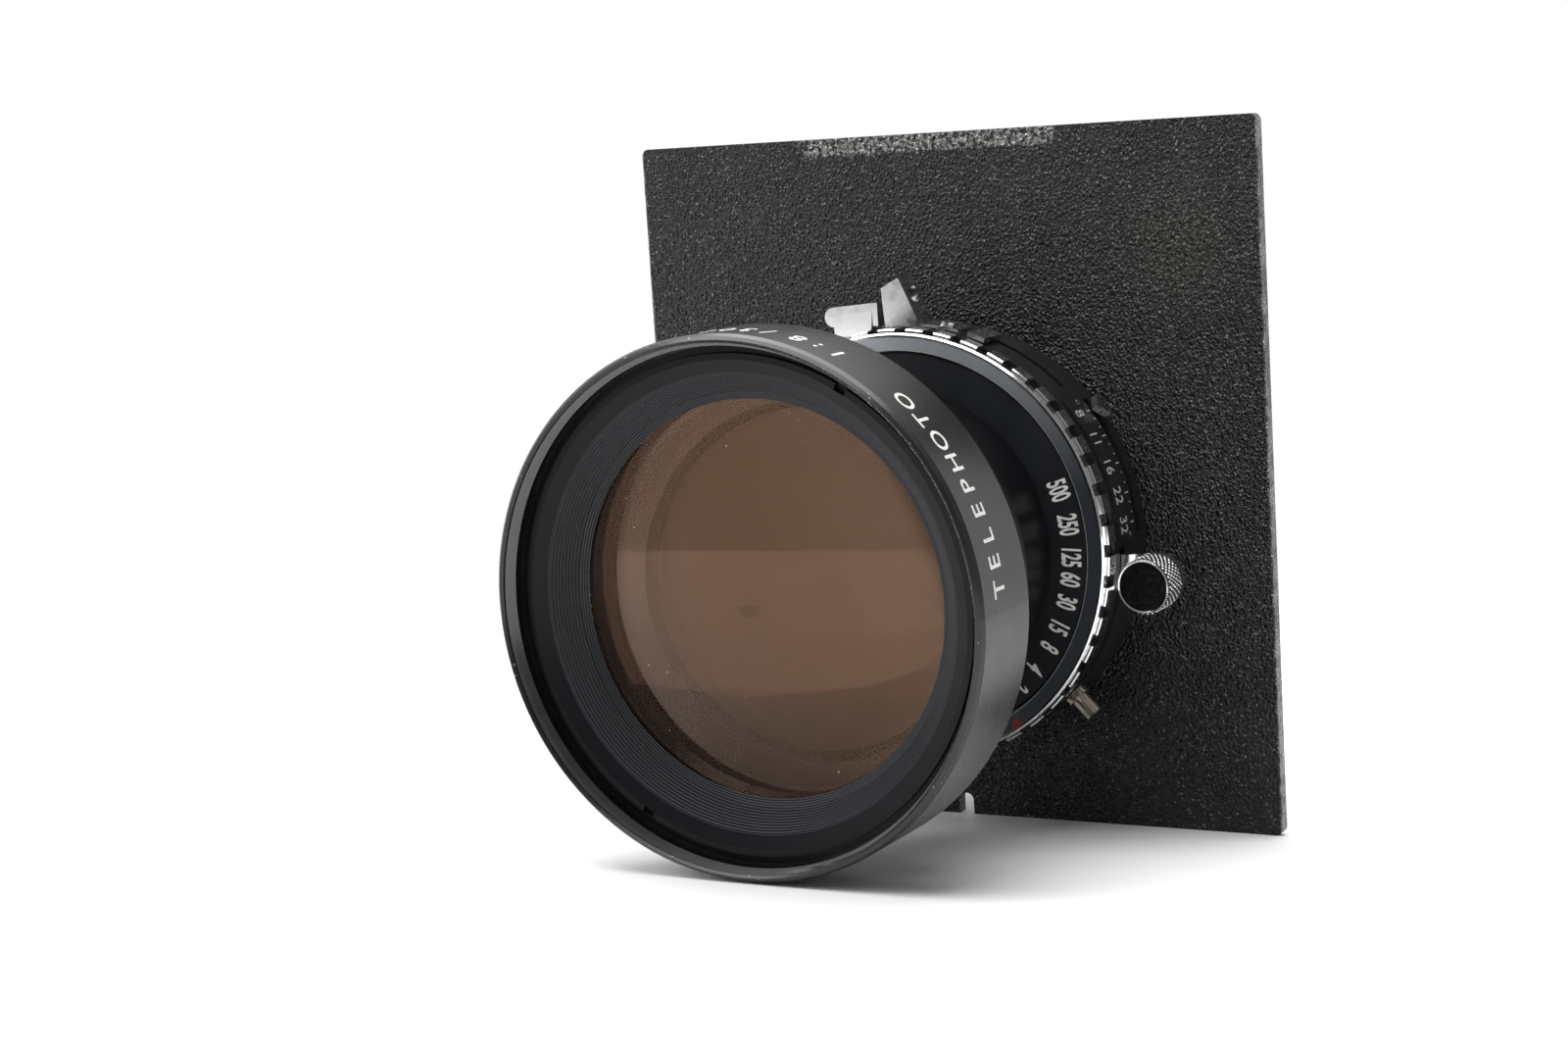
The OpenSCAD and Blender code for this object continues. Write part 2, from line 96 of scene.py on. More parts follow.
# ---- materials ----
class Shade:
    """A material under construction: the Principled node, and short names for texture nodes."""

    def __init__(self, name):
        self.material = bpy.data.materials.new(name)
        self.material.use_nodes = True
        self.nodes = self.material.node_tree.nodes
        self.links = self.material.node_tree.links
        self.surface = next(n for n in self.nodes if n.type == "BSDF_PRINCIPLED")
        self.place = self.nodes.new("ShaderNodeTexCoord").outputs["Object"]
        split = self.nodes.new("ShaderNodeSeparateXYZ")
        self.links.new(self.place, split.inputs[0])
        self.x, self.y, self.z = split.outputs

    def put(self, socket, value):
        """Links a node's output to a socket, or sets the socket to a number or colour."""
        if isinstance(value, bpy.types.NodeSocket):
            self.links.new(value, socket)
        elif isinstance(value, (tuple, list)) and len(value) == 3 and socket.type == "RGBA":
            socket.default_value = (*value, 1)
        else:
            socket.default_value = value

    def set(self, **sockets):
        """Puts values on the Principled node, its socket names written with underscores."""
        for name, value in sockets.items():
            self.put(self.surface.inputs[name.replace("_", " ")], value)
        return self

    def math(self, operation, *values):
        node = self.nodes.new("ShaderNodeMath")
        node.operation = operation
        for socket, value in zip(node.inputs, values):
            self.put(socket, value)
        return node.outputs[0]

    def noise(self, size, detail=3.0, stretch=(1, 1, 1)):
        """Noise whose lumps are about size millimetres, 0 to 1."""
        return self.texture("ShaderNodeTexNoise", size, stretch, Detail=detail).outputs[0]

    def cells(self, size, stretch=(1, 1, 1)):
        """Distance from the nearest of a scatter of points about size millimetres apart."""
        return self.texture("ShaderNodeTexVoronoi", size, stretch).outputs["Distance"]

    def texture(self, kind, size, stretch, **inputs):
        """A texture node in the object's own coordinates, size millimetres to a unit."""
        node = self.nodes.new(kind)
        node.inputs["Scale"].default_value = 1 / (size * MM)
        for name, value in inputs.items():
            node.inputs[name].default_value = value
        place = self.place
        if stretch != (1, 1, 1):
            scale = self.nodes.new("ShaderNodeVectorMath")
            scale.operation = "MULTIPLY"
            scale.inputs[1].default_value = [1 / s for s in stretch]
            self.links.new(self.place, scale.inputs[0])
            place = scale.outputs[0]
        self.links.new(place, node.inputs["Vector"])
        return node

    def fade(self, value, start, end, low=0.0, high=1.0):
        """Goes smoothly from low at start to high at end."""
        node = self.nodes.new("ShaderNodeMapRange")
        node.interpolation_type = "SMOOTHSTEP"
        names = ("Value", "From Min", "From Max", "To Min", "To Max")
        for name, number in zip(names, (value, start, end, low, high)):
            self.put(node.inputs[name], number)
        return node.outputs[0]

    def mix(self, share, first, second):
        """The first colour where share is 0, the second where it is 1."""
        node = self.nodes.new("ShaderNodeMix")
        node.data_type = "RGBA"
        self.put(node.inputs[0], share)
        self.put(node.inputs[6], first)
        self.put(node.inputs[7], second)
        return node.outputs[2]

    def bump(self, height, depth, strength=1.0):
        """Relief of depth millimetres."""
        node = self.nodes.new("ShaderNodeBump")
        node.inputs["Distance"].default_value = depth * MM
        node.inputs["Strength"].default_value = strength
        self.links.new(height, node.inputs["Height"])
        if self.surface.inputs["Normal"].is_linked:
            under = self.surface.inputs["Normal"].links[0].from_socket
            self.links.new(under, node.inputs["Normal"])
        self.links.new(node.outputs[0], self.surface.inputs["Normal"])
        return self

    def radius(self, centre_x=0.0, centre_y=0.0):
        """Distance in metres from an axis through optical x and y, the optical axis unless given."""
        across, up = self.x, self.z
        if centre_x or centre_y:
            across = self.math("SUBTRACT", self.x, centre_x * MM)
            up = self.math("SUBTRACT", self.z, centre_y * MM)
        squares = self.math("ADD", self.math("MULTIPLY", across, across), self.math("MULTIPLY", up, up))
        return self.math("SQRT", squares)

    def turned(self, size):
        """The fine circular tool marks of a turned part: noise along the radius and the depth."""
        reach = self.math("ADD", self.radius(), self.math("MULTIPLY", self.y, 0.37))
        node = self.nodes.new("ShaderNodeTexNoise")
        node.noise_dimensions = "1D"
        node.inputs["Scale"].default_value = 1 / (size * MM)
        node.inputs["Detail"].default_value = 4
        self.links.new(reach, node.inputs["W"])
        return node.outputs[0]


def wrinkle_paint():
    """Black wrinkle paint on the board, rubbed through along the top and worn near a corner, with painted
    glints in its grain.
    """
    worn_x, worn_y = 36, 40               # the middle of the worn patch
    bare_half, bare_h = 20.2, 2.7         # the bare strip's half width and height
    s = Shade("wrinkle_paint")
    lumps = s.noise(0.55, 2.5)
    grain = s.cells(0.42)
    height = s.math("ADD", lumps, s.math("MULTIPLY", grain, 0.7))
    patchy = s.fade(s.noise(9, 2), 0.35, 0.65)
    paint = s.mix(patchy, (0.004, 0.004, 0.004), (0.009, 0.0085, 0.0085))
    # painted glints: tiny pale specks in the base colour stand in for highlights on the grain
    sparse = s.fade(s.noise(1.1, 3), 0.47, 0.55)
    painted_glint = s.math("MULTIPLY", s.fade(s.cells(0.62), 0.3, 0.16), sparse)
    paint = s.mix(painted_glint, paint, (0.16, 0.157, 0.15))
    # the patch worn by handling
    reach = s.radius(worn_x, worn_y)
    worn = s.math("MULTIPLY", s.fade(reach, 13 * MM, 2 * MM), s.fade(lumps, 0.46, 0.62))
    paint = s.mix(worn, paint, (0.05, 0.042, 0.03))
    # bare metal along the middle of the top edge
    ragged = s.math("MULTIPLY", s.math("SUBTRACT", s.noise(1.6, 4), 0.5), 2.2 * MM)
    height_here = s.math("ADD", s.z, ragged)
    across = s.math("ADD", s.math("ADD", s.x, 1 * MM), s.math("MULTIPLY", ragged, 2))
    strip_low = board_high.y - bare_h
    strip = s.fade(height_here, strip_low * MM, (strip_low + 0.5) * MM)
    ends = s.fade(s.math("ABSOLUTE", across), bare_half * MM, (bare_half - 1.2) * MM)
    bare = s.math("MULTIPLY", strip, ends)
    bare = s.math("MULTIPLY", bare, s.fade(s.noise(0.7, 5), 0.43, 0.56))
    # paint is thin on the sharp edges
    half = board_high.x
    edge_x = s.fade(s.math("ABSOLUTE", s.x), (half - 0.35) * MM, (half - 0.1) * MM)
    edge = s.math("MULTIPLY", edge_x, s.fade(s.noise(2.5, 4), 0.4, 0.6, 0.15, 0.8))
    metal = s.math("MAXIMUM", bare, edge)
    s.set(Base_Color=s.mix(metal, paint, (0.24, 0.235, 0.225)), Metallic=s.math("MULTIPLY", metal, 0.8),
          Roughness=s.fade(lumps, 0.3, 0.7, 0.34, 0.14), Specular_IOR_Level=0.33)
    return s.bump(height, 0.6, 1.0).material


def satin_black(name, base, rough, marks=0.004, wear_from=None, level=0.3):
    """Black anodised or enamelled metal with faint turning marks and small bright chips.

    wear_from is the optical z from which the edges in front of it are rubbed bright.
    """
    s = Shade(name)
    darker = tuple(c * 0.85 for c in base)
    lighter = tuple(c * 1.15 for c in base)
    tint = s.mix(s.fade(s.noise(6, 3), 0.3, 0.7), darker, lighter)
    chips = s.fade(s.cells(1.7), 0.06, 0.03)
    chips = s.math("MULTIPLY", chips, s.fade(s.noise(13, 2), 0.66, 0.7))
    if wear_from is not None:
        edge = s.fade(s.y, -wear_from * MM, (-wear_from - 0.4) * MM)
        edge = s.math("MULTIPLY", edge, s.fade(s.noise(0.8, 5), 0.68, 0.74))
        chips = s.math("MAXIMUM", chips, edge)
    s.set(Base_Color=s.mix(chips, tint, (0.4, 0.39, 0.38)), Metallic=s.math("MULTIPLY", chips, 0.9),
          Roughness=s.fade(s.noise(3, 4), 0.25, 0.75, rough - 0.015, rough + 0.02),
          Specular_IOR_Level=level)
    return s.bump(s.turned(0.12), marks, 0.6).material


def bare_metal(name, base, rough, marks=0.004, grime=(0.5, 0.48, 0.45), dirt=0.4):
    """Plated or turned metal: brushed variation, a little grime and fine tool marks."""
    s = Shade(name)
    dirty = s.fade(s.noise(1.4, 5), 0.58, 0.8, 0, dirt)
    dull = tuple(c * g for c, g in zip(base, grime))
    s.set(Base_Color=s.mix(dirty, base, dull), Metallic=1.0,
          Roughness=s.fade(s.noise(0.9, 5), 0.3, 0.7, max(0.04, rough - 0.03), rough + 0.04))
    return s.bump(s.turned(0.1), marks, 0.5).material


def knurled_chrome():
    """Chrome with painted shade in the valleys of the knurl: a dark base colour away from its crests and
    front face.
    """
    s = Shade("knurled_chrome")
    centre = knob_centre()
    reach = s.radius(centre.x, centre.y)
    rim = (knob_high.x - knob_low.x) / 2
    # painted shade: only the crests of the knurl and the knob's front face keep bright chrome, the rest is
    # coloured dark
    peak = s.fade(reach, (rim - 0.2) * MM, (rim - 0.03) * MM)
    front = s.fade(s.y, -(knob_high.z - 0.25) * MM, -(knob_high.z - 0.1) * MM)
    unshaded = s.math("MAXIMUM", peak, front)
    s.set(Base_Color=s.mix(unshaded, (0.035, 0.034, 0.033), (0.85, 0.85, 0.84)), Metallic=1.0,
          Roughness=s.fade(unshaded, 0, 1, 0.4, 0.1))
    return s.material


def ridged_black():
    """Matt black of the baffle ring, with painted highlights along the edges of its fine ridges."""
    s = Shade("ridged_black")
    first, last = RIDGES_R
    step = (last - first) / RIDGES
    phase = s.math("FRACT", s.math("DIVIDE", s.math("SUBTRACT", s.radius(), first * MM), step * MM))
    inside = s.fade(s.radius(), (last + 0.1) * MM, last * MM)
    # painted highlight: the base colour is lighter along each ridge's edge
    edge = s.math("MULTIPLY", s.fade(phase, 0.45, 0.3), inside)
    s.set(Base_Color=s.mix(edge, (0.006, 0.0065, 0.0075), (0.055, 0.057, 0.062)),
          Roughness=s.fade(s.noise(2, 3), 0.3, 0.7, 0.3, 0.34), Specular_IOR_Level=0.13)
    return s.material


def ring_metal():
    """The speed ring: a grey anodised face inside bright plated teeth.

    The face is paler at the top, which stands in for the sheen of its fine turning marks.
    """
    s = Shade("speed_ring_metal")
    r = s.radius()
    bright = s.fade(r, TEETH_R * MM, (TEETH_R + 0.15) * MM)
    side = s.fade(r, FACE_R * MM, (FACE_R - 0.1) * MM)
    shiny = s.math("MAXIMUM", bright, side)
    face = s.mix(s.fade(s.z, 6 * MM, 26 * MM), (0.12, 0.135, 0.16), (0.62, 0.65, 0.7))
    plated = s.mix(s.fade(s.noise(0.7, 4), 0.5, 0.75, 0, 0.7), (0.86, 0.86, 0.86), (0.35, 0.34, 0.33))
    metallic = s.fade(r, (TEETH_R - 0.15) * MM, (TEETH_R + 0.15) * MM, 0.85, 1)
    s.set(Base_Color=s.mix(shiny, face, plated), Metallic=metallic,
          Roughness=s.fade(bright, 0, 1, 0.34, 0.12))
    return s.bump(s.turned(0.08), 0.004, 0.5).material


def paint_fill(name, base, rough=0.5):
    """Thick paint or moulded plastic, slightly uneven."""
    s = Shade(name)
    darker = tuple(c * 0.72 for c in base)
    s.set(Base_Color=s.mix(s.fade(s.noise(0.4, 4), 0.35, 0.75), base, darker),
          Roughness=s.fade(s.noise(0.8, 3), 0.3, 0.7, rough - 0.08, rough + 0.08))
    return s.bump(s.noise(0.15, 3), 0.01, 0.4).material


def coated_glass(name, tint, mirror, clear=1.0, rim=None):
    """Optical glass with a few specks of dust. Its amber coating weakens the mirror image.

    Beyond the rim radius the glass is darkened, as a ground and inked edge is.
    """
    s = Shade(name)
    if rim:
        inked = s.fade(s.radius(), (rim - 0.1) * MM, (rim + 0.1) * MM)
        tint = s.mix(inked, tint, (0.10, 0.065, 0.05))
    sparse = s.fade(s.noise(7, 2), 0.5, 0.56)
    dust = s.math("MULTIPLY", s.fade(s.cells(3.1), 0.035, 0.02), sparse)
    s.set(Base_Color=s.mix(dust, tint, (0.7, 0.68, 0.62)), Roughness=s.fade(dust, 0, 1, 0.0, 0.6),
          Transmission_Weight=clear, IOR=1.52, Specular_Tint=mirror)
    return s.material


def dress(material, *names):
    """Gives CAD nodes or new pieces one material."""
    for name in names:
        slots = bpy.data.objects[name].data.materials
        slots.clear()
        slots.append(material)


# ---- mesh helpers ----
def piece(name, points, faces, body="root", smooth=True):
    """A new mesh object that rides on a body."""
    mesh = bpy.data.meshes.new(name)
    mesh.from_pydata([tuple(p) for p in points], [], faces)
    mesh.validate()
    mesh.update()
    for polygon in mesh.polygons:
        polygon.use_smooth = smooth
    made = bpy.data.objects.new(name, mesh)
    bpy.context.scene.collection.objects.link(made)
    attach(made, body)
    return made


def joined(parts):
    """Points and faces of several (points, faces) as one."""
    points, faces = [], []
    for more_points, more_faces in parts:
        start = len(points)
        points += more_points
        faces += [tuple(start + i for i in face) for face in more_faces]
    return points, faces


def swept(rings, closed=False):
    """Points and faces of a skin over rings with the same number of points."""
    size = len(rings[0])
    points = [p for ring in rings for p in ring]
    faces = []
    count = len(rings)
    for i in range(count if closed else count - 1):
        k = (i + 1) % count
        for j in range(size):
            n = (j + 1) % size
            faces.append((i * size + j, i * size + n, k * size + n, k * size + j))
    if not closed:
        faces.append(tuple(reversed(range(size))))
        faces.append(tuple((count - 1) * size + j for j in range(size)))
    return points, faces


def glyphs(text, size, width=1.0, weight=0.0, spacing=1.0):
    """Flat outlines of a text, centred: (points in the text's plane, faces), size millimetres tall."""
    capital = 0.7                         # a capital's height in a font of size 1
    curve = bpy.data.curves.new("glyphs", "FONT")
    curve.body = text
    curve.size = size / capital
    curve.align_x = "CENTER"
    curve.align_y = "CENTER"
    curve.offset = weight
    curve.space_character = spacing
    curve.resolution_u = 6
    carrier = bpy.data.objects.new("glyphs", curve)
    bpy.context.scene.collection.objects.link(carrier)
    bpy.context.view_layer.update()
    graph = bpy.context.evaluated_depsgraph_get()
    mesh = bpy.data.meshes.new_from_object(carrier.evaluated_get(graph))
    points = [(v.co.x * width, v.co.y) for v in mesh.vertices]
    faces = [tuple(p.vertices) for p in mesh.polygons]
    bpy.data.objects.remove(carrier)
    bpy.data.curves.remove(curve)
    bpy.data.meshes.remove(mesh)
    middle = (max(p[1] for p in points) + min(p[1] for p in points)) / 2
    return [(x, y - middle) for x, y in points], faces


def raised(outline, place, thick):
    """A flat outline laid on a surface as a solid: place(x, y, height) gives each point."""
    flat, faces = outline
    count = len(flat)
    points = [place(x, y, 0) for x, y in flat] + [place(x, y, thick) for x, y in flat]
    edges = {}
    for face in faces:
        for i, a in enumerate(face):
            edges[(a, face[(i + 1) % len(face)])] = True
    rim = [(a, b) for a, b in edges if (b, a) not in edges]
    solid = [tuple(i + count for i in face) for face in faces]
    solid += [tuple(reversed(face)) for face in faces]
    solid += [(a, b, b + count, a + count) for a, b in rim]
    return points, solid


def on_face(r, angle, z):
    """Places an outline flat on a front face, its top outward."""
    a = math.radians(angle)

    def place(x, y, height):
        reach = r + y
        across = reach * math.cos(a) + x * math.sin(a)
        up = reach * math.sin(a) - x * math.cos(a)
        return at(across, up, z + height)

    return place


def on_side(r, angle, z, top_back):
    """Wraps an outline round a cylinder. Its top points backward, or forward."""
    way = 1 if top_back else -1

    def place(x, y, height):
        return polar(r + height, angle - way * math.degrees(x / r), z - way * y)

    return place


# ---- lettering and marks ----
SPEEDS = {"500": 19.2, "250": 8.2, "125": -1.8, "60": -9.0, "30": -16.3, "15": -24.7,
          "8": -32.2, "4": -40.8, "2": -48.5, "1": -56.5, "B": -66.0}
STOPS = {"8": 36.0, "11": 28.4, "16": 20.6, "22": 12.7, "32": 5.0}
FILL_T = 0.03                     # how far paint stands out of an engraving


def speed_numerals():
    """The speeds on the face plate, narrow figures with their tops outward."""
    middle_r, size, width, weight, spacing = 25.2, 2.75, 0.5, 0.1, 0.98
    parts = []
    for text, angle in SPEEDS.items():
        outline = glyphs(text, size, width, weight, spacing)
        parts.append(raised(outline, on_face(middle_r, angle, face_z - 0.01), FILL_T))
    points, faces = joined(parts)
    return piece("speed_numerals", points, faces, smooth=False)


def bar(width, height):
    """The outline of an upright mark."""
    w, h = width / 2, height / 2
    return [(-w, -h), (w, -h), (w, h), (-w, h)], [(0, 1, 2, 3)]


def dot(r, sides=12):
    """The outline of a round mark."""
    turn = 2 * math.pi / sides
    return [(r * math.cos(i * turn), r * math.sin(i * turn)) for i in range(sides)], [tuple(range(sides))]


def aperture_marks():
    """The aperture scale: figures, a bar for each stop and dots for the thirds between them."""
    size, width, weight, spacing = 2.4, 0.72, -0.005, 1.05
    figure_z, bar_z, dot_z = 9.3, 6.4, 6.1
    parts = []
    for text, angle in STOPS.items():
        outline = glyphs(text, size, width, weight, spacing)
        parts.append(raised(outline, on_side(SCALE_R, angle, figure_z, True), FILL_T))
        parts.append(raised(bar(0.17, 1.15), on_side(SCALE_R, angle, bar_z, True), FILL_T))
    angles = list(STOPS.values())
    for upper, lower in zip(angles, angles[1:]):
        for share in (1 / 3, 2 / 3):
            angle = upper + share * (lower - upper)
            parts.append(raised(dot(0.13), on_side(SCALE_R, angle, dot_z, True), FILL_T))
    points, faces = joined(parts)
    return piece("aperture_marks", points, faces, smooth=False)


def ring_engraving():
    """A generic inscription round the name ring: the kind of lens, its aperture and focal length."""
    band_z, size, width, weight = 59.8, 2.9, 0.92, 0.04
    parts = []
    for text, middle, spread in (("TELEPHOTO", 26.3, 5.34), ("1:8", 69.7, 4.75), ("/300", 88.5, 4.75)):
        first = middle - spread * (len(text) - 1) / 2
        for i, letter in enumerate(text):
            place = on_side(name_r, first + i * spread, band_z, False)
            parts.append(raised(glyphs(letter, size, width, weight), place, FILL_T))
    points, faces = joined(parts)
    return piece("ring_engraving", points, faces, smooth=False)


# ---- turned and knurled detail ----
def filter_thread():
    """The thread in the front rim: a triangular ridge that winds along the wall."""
    pitch, depth, steps = 0.75, 0.42, 200
    lead_in, clear = 0.3, 0.1             # plain wall in front of the thread, and room at its ends
    run_out = 12                          # steps over which the ridge rises and falls
    root_r = thread_r + 0.02
    start = front_z - lead_in - thread_l + clear
    turns = (thread_l - 2 * clear - pitch * 0.9) / pitch
    rings = []
    for i in range(int(steps * turns) + 1):
        angle = 360 * i / steps
        z = start + pitch * i / steps
        fade = max(0.02, min(1, i / run_out, (steps * turns - i) / run_out + 0.02))
        foot = polar(root_r, angle, z)
        crest = polar(thread_r - depth * fade, angle, z + pitch * 0.45)
        shoulder = polar(root_r, angle, z + pitch * 0.9)
        rings.append([foot, crest, shoulder])
    points, faces = swept(rings)
    return piece("filter_thread_ridge", points, faces, smooth=False)


def knob_centre():
    """The middle of the knob, in optical millimetres."""
    return (knob_low + knob_high) / 2


def knurled_knob():
    """The cocking lever's knob, with a diamond knurl cut round its side."""
    centre = knob_centre()
    knob_r = (knob_high.x - knob_low.x) / 2
    insert_r = (insert_high.x - insert_low.x) / 2
    back, front, recess = knob_low.z, knob_high.z, insert_low.z
    ridges, steps, rows = 34, 272, 44
    depth = 0.42
    height = 0.62                         # of one diamond, along the knob
    slope = 2 * math.pi / ridges / height

    def ridge(value):
        """1 on the crest of a ridge, 0 in the valley."""
        share = (value / (2 * math.pi)) % 1
        return 1 - abs(2 * share - 1)

    profile = [(1.0, back, 0), (knob_r - 0.35, back, 0)]
    for i in range(rows + 1):
        z = back + 0.2 + (front - back - 0.45) * i / rows
        profile.append((knob_r, z, depth))
    profile += [(knob_r - 0.32, front, 0), (insert_r + 0.15, front, 0), (insert_r, front - 0.1, 0),
                (insert_r, recess, 0), (1.0, recess, 0)]
    rings = []
    for k in range(steps):
        a = 2 * math.pi * k / steps
        ring = []
        for r, z, cut in profile:
            wind = (z - back) * slope * ridges / 2
            level = min(ridge(ridges * a + wind), ridge(ridges * a - wind))
            here = r - cut * (1 - min(1, 1.5 * level))
            ring.append(at(centre.x + here * math.cos(a), centre.y + here * math.sin(a), z))
        rings.append(ring)
    points, faces = swept(rings, closed=True)
    made = piece("knurled_knob", points, faces, "cocking_lever", smooth=False)
    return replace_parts(made, "cocking_knob")


def coil(name, node, wire, turns):
    """A coil spring of round wire in the place of the CAD node's stack of turns."""
    low, high = optical_box(node)
    middle = (low + high) / 2
    r = (high.x - low.x - wire) / 2
    rise = high.z - low.z - wire
    steps, sides = 40, 10
    rings = []
    for i in range(turns * steps + 1):
        a = 2 * math.pi * i / steps
        z = low.z + wire / 2 + rise * i / (turns * steps)
        ring = []
        for j in range(sides):
            b = 2 * math.pi * j / sides
            reach = r + wire / 2 * math.cos(b)
            across = middle.x + reach * math.cos(a)
            up = middle.y + reach * math.sin(a)
            ring.append(at(across, up, z + wire / 2 * math.sin(b)))
        rings.append(ring)
    points, faces = swept(rings)
    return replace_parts(piece(name, points, faces), node)


# ---- the object ----
speed_numerals()
aperture_marks()
ring_engraving()
filter_thread()
knurled_knob()
coil("release_spring_coil", "release_spring", 0.3, 4)
coil("main_spring_coil", "main_spring", 0.34, 6)

white_fill = paint_fill("white_fill", (0.78, 0.78, 0.74))
dress(wrinkle_paint(), "lens_board")
ring_black = satin_black("ring_black", (0.010, 0.0096, 0.0094), 0.27, 0.0008, front_z - 1.0, 0.48)
dress(ring_black, "name_ring")
dress(satin_black("thread_black", (0.03, 0.03, 0.031), 0.2, 0.0, None, 0.8), "filter_thread_ridge")
dress(satin_black("barrel_black", (0.006, 0.0065, 0.0075), 0.3, 0.002, None, 0.12), "front_barrel",
      "rear_barrel", "rear_retainer")
dress(satin_black("spacer_black", (0.03, 0.022, 0.018), 0.2, 0.002, None, 0.5), "front_spacer",
      "front_inner_ring", "middle_spacer", "rear_spacer")
dress(ridged_black(), "baffle_ring")
dress(satin_black("case_enamel", (0.012, 0.012, 0.013), 0.3, 0.002), "shutter_case", "retaining_ring",
      "aperture_scale")
dress(satin_black("face_enamel", (0.010, 0.011, 0.013), 0.5, 0.002), "face_plate")
dress(ring_metal(), "speed_ring")
dress(bare_metal("satin_chrome", (0.8, 0.8, 0.79), 0.14, 0.0005, dirt=0.12), "mechanism_plate",
      "aperture_ring", "blade_ring", "cocking_ring", "release_lever", "cable_release_bracket")
dress(knurled_chrome(), "knurled_knob", "cocking_knob")
dress(bare_metal("spring_steel", (0.6, 0.6, 0.6), 0.22), "knob_screw", "release_pivot", "release_spring_coil",
      "main_spring_coil", "release_spring", "main_spring", "retard_axles", "bracket_screws", "scale_screws")
dress(bare_metal("turned_brass", (0.75, 0.55, 0.26), 0.25), "retard_gear_1", "retard_gear_2", "retard_gear_3")
dress(bare_metal("worn_nickel", (0.62, 0.54, 0.45), 0.2, 0.001, (0.8, 0.7, 0.55)), "sync_collar",
      "sync_sleeve", "sync_pin")
dress(paint_fill("terminal_insulator", (0.55, 0.52, 0.42)), "sync_insulator")
dress(paint_fill("index_red", (0.22, 0.018, 0.006)), "speed_index")
dress(paint_fill("insert_black", (0.006, 0.006, 0.006), 0.22), "knob_insert")
dress(white_fill, "speed_numerals", "ring_engraving")
dress(paint_fill("grey_fill", (0.42, 0.42, 0.42)), "aperture_marks")
dress(bare_metal("pointer_steel", (0.4, 0.4, 0.41), 0.2, 0.001), "aperture_pointer")
blades = [f"{kind}_blade_{i}" for kind in ("iris", "shutter") for i in range(1, 6)]
dress(satin_black("blackened_steel", (0.03, 0.03, 0.033), 0.3, 0.002), *blades)
dress(coated_glass("front_glass", (0.95, 0.8, 0.7), (0.6, 0.36, 0.24), 0.99), "front_element")
dress(coated_glass("second_glass", (0.95, 0.9, 0.86), (0.03, 0.025, 0.02)), "second_element")
dress(coated_glass("inner_glass", (0.9, 0.77, 0.61), (0.2, 0.17, 0.14), 0.89, INK_R), "third_element")
dress(coated_glass("rear_glass", (0.95, 0.93, 0.9), (0.7, 0.5, 0.4)), "fourth_element", "rear_element")

# ---- floor, light and camera ----
def floor():
    """A round white table top that the board's edge and the name ring rest on."""
    tilt = math.atan2(name_low.y - board_low.y, front_z)
    radius = 420
    points = [Vector((0, 0, 0))]
    count = 96
    for i in range(count):
        a = 2 * math.pi * i / count
        points.append(Vector((math.cos(a), math.sin(a), 0)) * radius * MM)
    faces = [(0, 1 + i, 1 + (i + 1) % count) for i in range(count)]
    mesh = bpy.data.meshes.new("table")
    mesh.from_pydata([tuple(p) for p in points], [], faces)
    made = bpy.data.objects.new("table", mesh)
    bpy.context.scene.collection.objects.link(made)
    made.location = at(0, board_low.y, 0)
    made.rotation_euler = (-tilt, 0, 0)
    s = Shade("table_white")
    cloudy = s.fade(s.noise(40, 2), 0.3, 0.7)
    s.set(Base_Color=s.mix(cloudy, (0.86, 0.86, 0.87), (0.84, 0.84, 0.85)), Roughness=0.6)
    mesh.materials.append(s.material)


def softbox(name, place, target, size, power, mirrored=True):
    """A rectangular light in metres and watts, which mirrors and glass show only if mirrored."""
    light = bpy.data.lights.new(name, "AREA")
    light.shape = "RECTANGLE"
    light.size, light.size_y = size
    light.energy = power
    made = bpy.data.objects.new(name, light)
    bpy.context.scene.collection.objects.link(made)
    made.location = Vector(place)
    made.rotation_euler = (Vector(target) - Vector(place)).to_track_quat("-Z", "Y").to_euler()
    made.visible_glossy = mirrored
    made.visible_transmission = mirrored


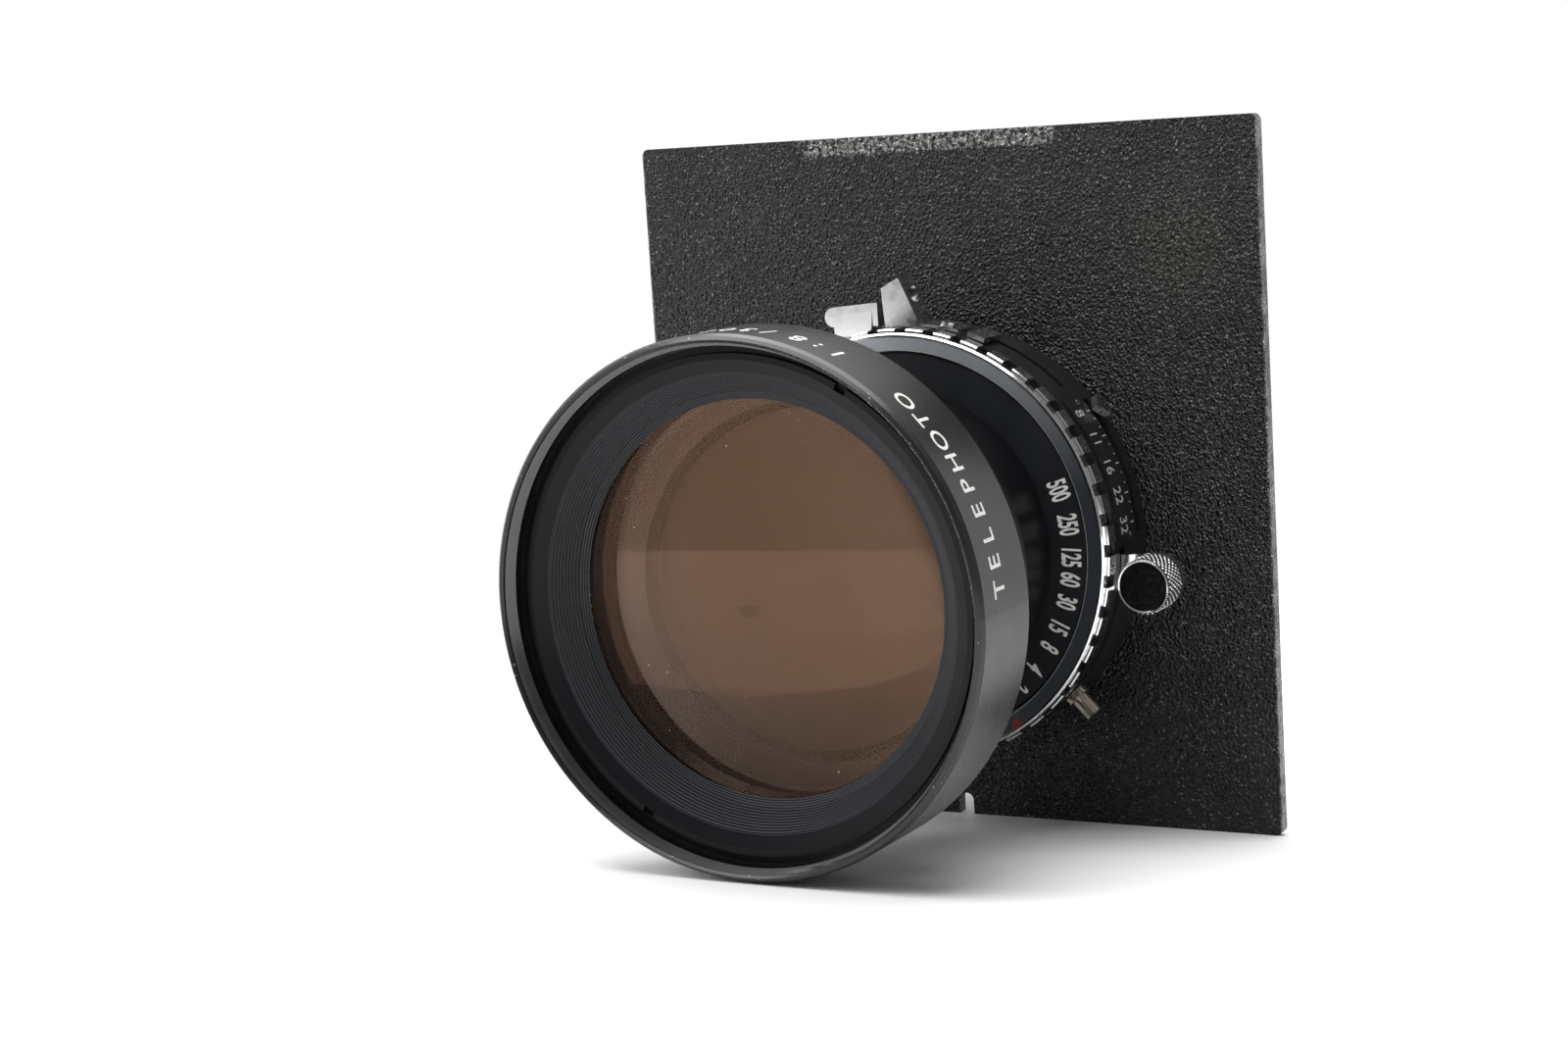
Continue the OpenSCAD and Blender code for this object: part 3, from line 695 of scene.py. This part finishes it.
def white_world():
    """A white room, darker behind the camera, so that black surfaces stay black."""
    world = bpy.data.worlds.new("room")
    bpy.context.scene.world = world
    world.use_nodes = True
    nodes, links = world.node_tree.nodes, world.node_tree.links
    background = nodes["Background"]
    place = nodes.new("ShaderNodeTexCoord").outputs["Generated"]
    split = nodes.new("ShaderNodeSeparateXYZ")
    links.new(place, split.inputs[0])
    ahead = nodes.new("ShaderNodeMath")
    ahead.operation = "MULTIPLY_ADD"
    links.new(split.outputs[0], ahead.inputs[0])
    ahead.inputs[1].default_value = -0.8
    links.new(split.outputs[1], ahead.inputs[2])
    fade = nodes.new("ShaderNodeMapRange")
    fade.interpolation_type = "SMOOTHSTEP"
    for name, number in (("From Min", -0.7), ("From Max", 0.6), ("To Min", 0.22), ("To Max", 1.0)):
        fade.inputs[name].default_value = number
    links.new(ahead.outputs[0], fade.inputs["Value"])
    seen = nodes.new("ShaderNodeLightPath").outputs["Is Camera Ray"]
    strength = nodes.new("ShaderNodeMath")
    strength.operation = "MAXIMUM"
    dimmed = nodes.new("ShaderNodeMath")
    dimmed.operation = "MULTIPLY"
    links.new(seen, dimmed.inputs[0])
    dimmed.inputs[1].default_value = 0.97
    links.new(dimmed.outputs[0], strength.inputs[0])
    links.new(fade.outputs[0], strength.inputs[1])
    links.new(strength.outputs[0], background.inputs["Strength"])
    background.inputs["Color"].default_value = (1, 1, 1, 1)


def camera():
    """A short telephoto view from the front, a little to the right and above."""
    place = Vector((168.33, -350.99, 58.72)) * MM
    azimuth, elevation, roll = (math.radians(a) for a in (29.18, 8.22, -3.61))
    data = bpy.data.cameras.new("camera")
    data.sensor_width = 36
    data.lens = 62.43
    data.clip_start, data.clip_end = 0.01, 20
    made = bpy.data.objects.new("camera", data)
    bpy.context.scene.collection.objects.link(made)
    turn = (Matrix.Rotation(azimuth, 4, "Z") @ Matrix.Rotation(math.pi / 2 - elevation, 4, "X")
            @ Matrix.Rotation(roll, 4, "Z"))
    made.matrix_world = Matrix.Translation(place) @ turn
    bpy.context.scene.camera = made


floor()
white_world()
softbox("overhead", (-0.1, 0.0, 0.75), (0, -0.02, 0), (0.9, 0.9), 12)
softbox("left", (-0.6, -0.5, 0.45), (0, -0.03, 0), (0.5, 0.5), 4, False)
camera()
bpy.context.scene.view_settings.view_transform = "Standard"
